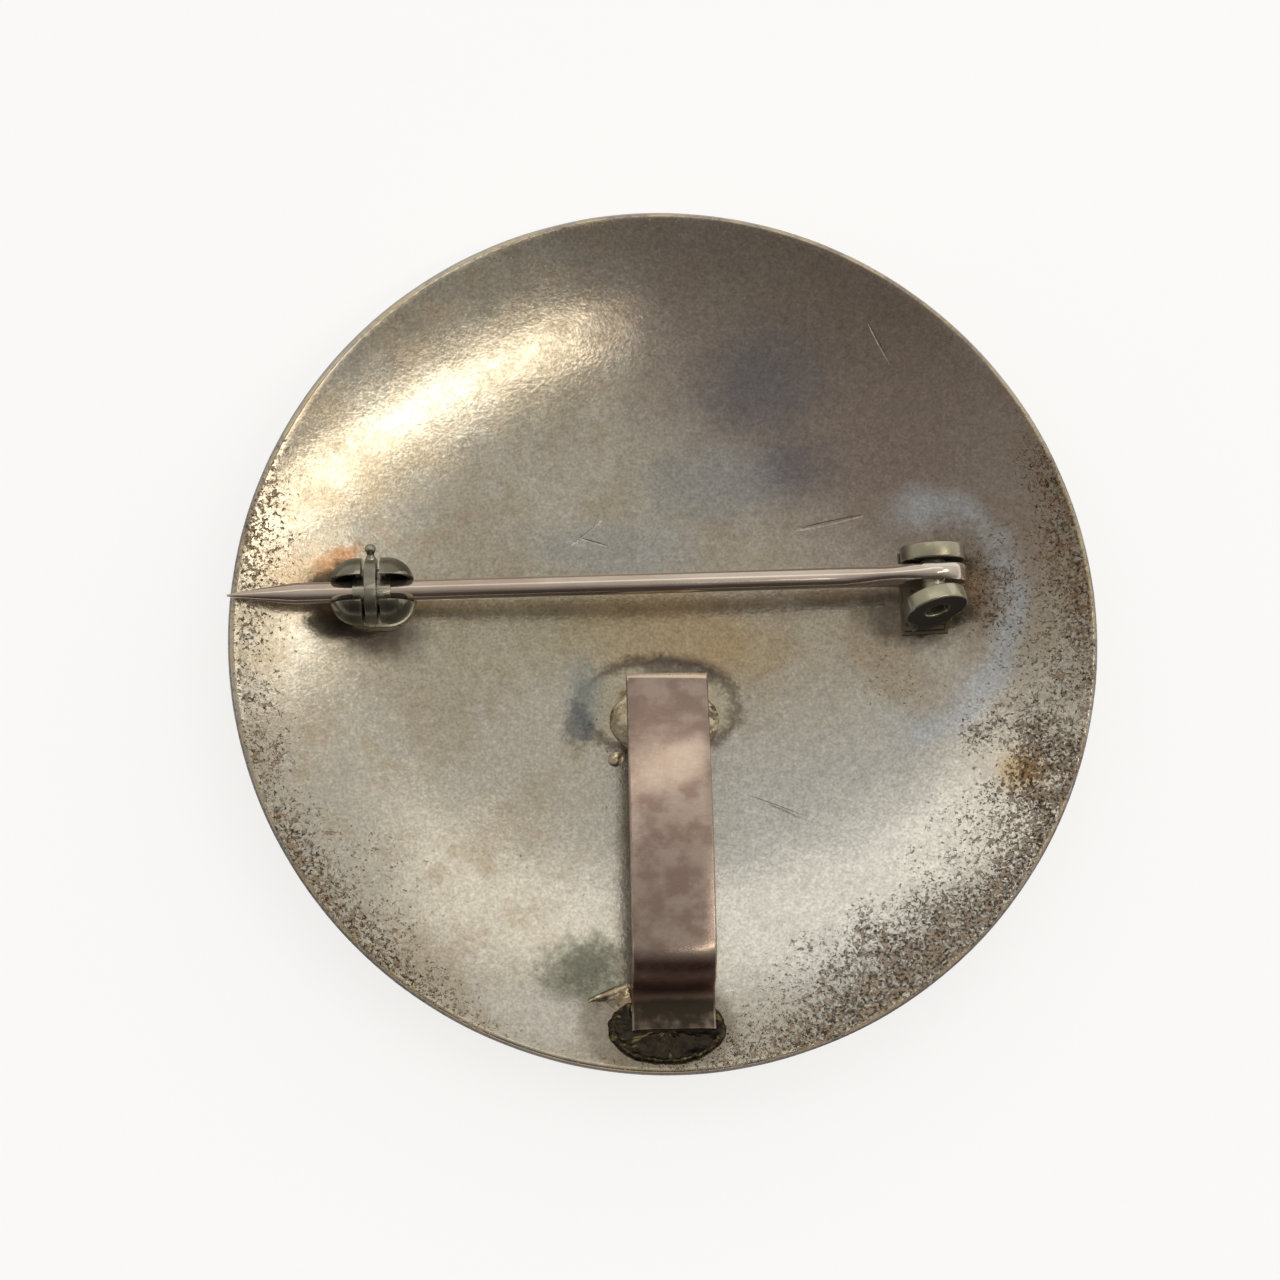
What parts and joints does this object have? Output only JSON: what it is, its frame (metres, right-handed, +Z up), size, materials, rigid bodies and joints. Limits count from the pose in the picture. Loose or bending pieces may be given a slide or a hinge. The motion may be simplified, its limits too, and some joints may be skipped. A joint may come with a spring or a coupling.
{
  "type": "cap badge",
  "caption": "Domed round metal badge, its back with a hinged pin, a turning safety catch and a soldered strap loop.",
  "frame": {"origin": "lowest point of the dome, at the centre of the round dish, which lies on its convex face", "axes": "+Z up out of the hollow back, +X towards the pin's hinge, +Y from the strap towards the pin"},
  "size_m": [0.05, 0.05, 0.0078],
  "materials": {
    "dish_silver": "tarnished satin silver",
    "strap_silver": "tarnished satin silver, pinkish brown",
    "solder": "rough solder with dark flux stains",
    "catch_metal": "dark tarnished nickel silver",
    "hinge_metal": "worn nickel silver",
    "pin_wire": "bright drawn wire"
  },
  "bodies": {
    "badge": {"badge_dish": "dish_silver", "strap": "strap_silver", "strap_post": "strap_silver", "solder_post": "solder", "solder_foot": "solder", "solder_drops": "solder", "catch_base": "catch_metal", "catch_solder": "solder", "catch_shell_left": "catch_metal", "catch_shell_right": "catch_metal", "hinge_base": "hinge_metal", "hinge_solder": "solder", "hinge_ear_upper": "hinge_metal", "hinge_ear_lower": "hinge_metal", "hinge_rivet": "hinge_metal"},
    "pin": {"pin_stem": "pin_wire"},
    "roller": {"roller_tube": "catch_metal", "roller_ring": "catch_metal", "roller_lever": "catch_metal"}
  },
  "joints": [
    {"name": "pin_hinge", "type": "hinge", "parent": "badge", "child": "pin", "pos_m": [0.01524, 0.00328, 0.00591], "axis": [-0.0384, 0.9993, 0], "range_deg": [0, 110]},
    {"name": "catch_turn", "type": "hinge", "parent": "badge", "child": "roller", "pos_m": [-0.01675, 0.00205, 0.00591], "axis": [0.9993, 0.0384, 0], "range_deg": [0, 125]}
  ]
}
